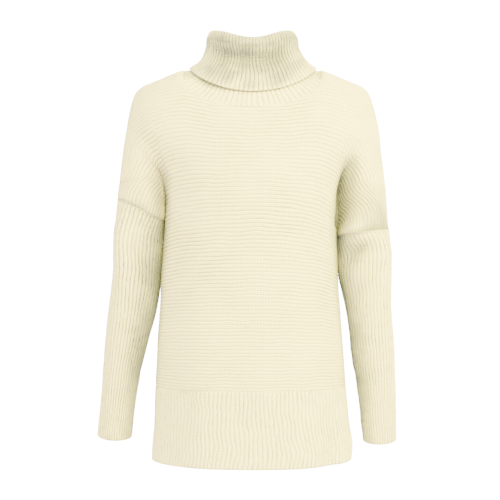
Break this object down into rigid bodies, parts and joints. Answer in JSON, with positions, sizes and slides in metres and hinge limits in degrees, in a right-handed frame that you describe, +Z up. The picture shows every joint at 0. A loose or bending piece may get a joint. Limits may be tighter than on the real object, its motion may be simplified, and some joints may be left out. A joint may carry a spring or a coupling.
{
  "type": "roll-neck rib-knit sweater",
  "caption": "Plain chunky rib-knit jumper with a turned-down roll neck, dropped shoulders, long sleeves and a deep rib hem, in its hollow worn form.",
  "frame": {"origin": "middle of the neck, level with the neck ends of the shoulder seams, where a wearer's neck and shoulders hold the jumper", "axes": "+Z up, the front faces -Y, +X towards the wearer's left"},
  "size_m": [0.5239, 0.2679, 0.7499],
  "materials": {
    "body_front": "matt chunky rib knit, horizontal ribs",
    "body_back": "matt chunky rib knit, horizontal ribs",
    "hem_front": "matt chunky rib knit, upright ribs",
    "hem_back": "matt chunky rib knit, upright ribs",
    "sleeve_right": "matt chunky rib knit, ribs along the arm",
    "sleeve_left": "matt chunky rib knit, ribs along the arm",
    "collar": "matt chunky rib knit, upright ribs, turned down"
  },
  "bodies": {
    "root": {"body_front": "body_front", "body_back": "body_back", "hem_front": "hem_front", "hem_back": "hem_back", "sleeve_right": "sleeve_right", "sleeve_left": "sleeve_left", "collar": "collar"}
  },
  "joints": []
}
